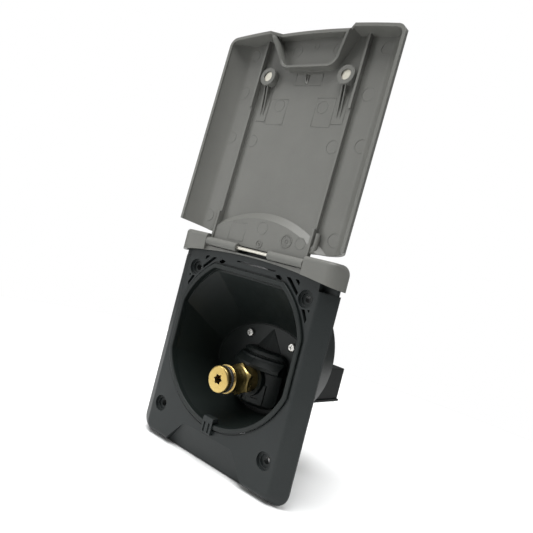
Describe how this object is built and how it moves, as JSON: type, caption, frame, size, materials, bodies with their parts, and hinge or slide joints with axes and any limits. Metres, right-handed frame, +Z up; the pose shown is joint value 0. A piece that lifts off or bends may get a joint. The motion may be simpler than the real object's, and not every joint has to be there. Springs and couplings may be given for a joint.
{
  "type": "service inlet box",
  "caption": "Flush wall inlet box with a funnel pot, a plug-in brass hose nipple and a flip-up lid held shut by magnets.",
  "frame": {"origin": "centre of the round mouth, on the wall plane that the flange sits on", "axes": "+X to the right seen from the front, +Y into the wall, +Z up"},
  "size_m": [0.1504, 0.1033, 0.3154],
  "materials": {
    "black_plastic": "fine textured",
    "grey_plastic": "satin",
    "brass": "turned and polished",
    "steel": "plain",
    "magnet": "nickel plated",
    "seal_rubber": "matt"
  },
  "bodies": {
    "case": {"frame": "black_plastic", "pot": "black_plastic", "wall_gasket": "seal_rubber", "rim_clip": "black_plastic", "hinge_cover": "grey_plastic", "hinge_cover_screws": "steel", "hinge_pin": "steel", "keeper_discs": "steel", "keeper_caps": "black_plastic", "carrier_plate": "black_plastic", "carrier_seal": "seal_rubber", "carrier_screws": "steel", "dome_left": "black_plastic", "dome_right": "black_plastic", "dome_screws": "steel", "nipple_body": "brass", "nipple_o_ring": "seal_rubber", "nipple_nut": "brass", "inlet_tube": "brass", "tube_washer": "steel", "tube_locknut": "brass", "hose_tail": "brass", "rear_cover": "black_plastic", "rear_cover_screws": "steel", "duct_lid": "black_plastic", "duct_lid_screws": "steel"},
    "lid": {"lid": "grey_plastic", "lid_magnets": "magnet"}
  },
  "joints": [
    {"name": "lid_hinge", "type": "hinge", "parent": "case", "child": "lid", "pos_m": [0, -0.0091, 0.0661], "axis": [1, 0, 0], "range_deg": [0, 182.3]}
  ]
}
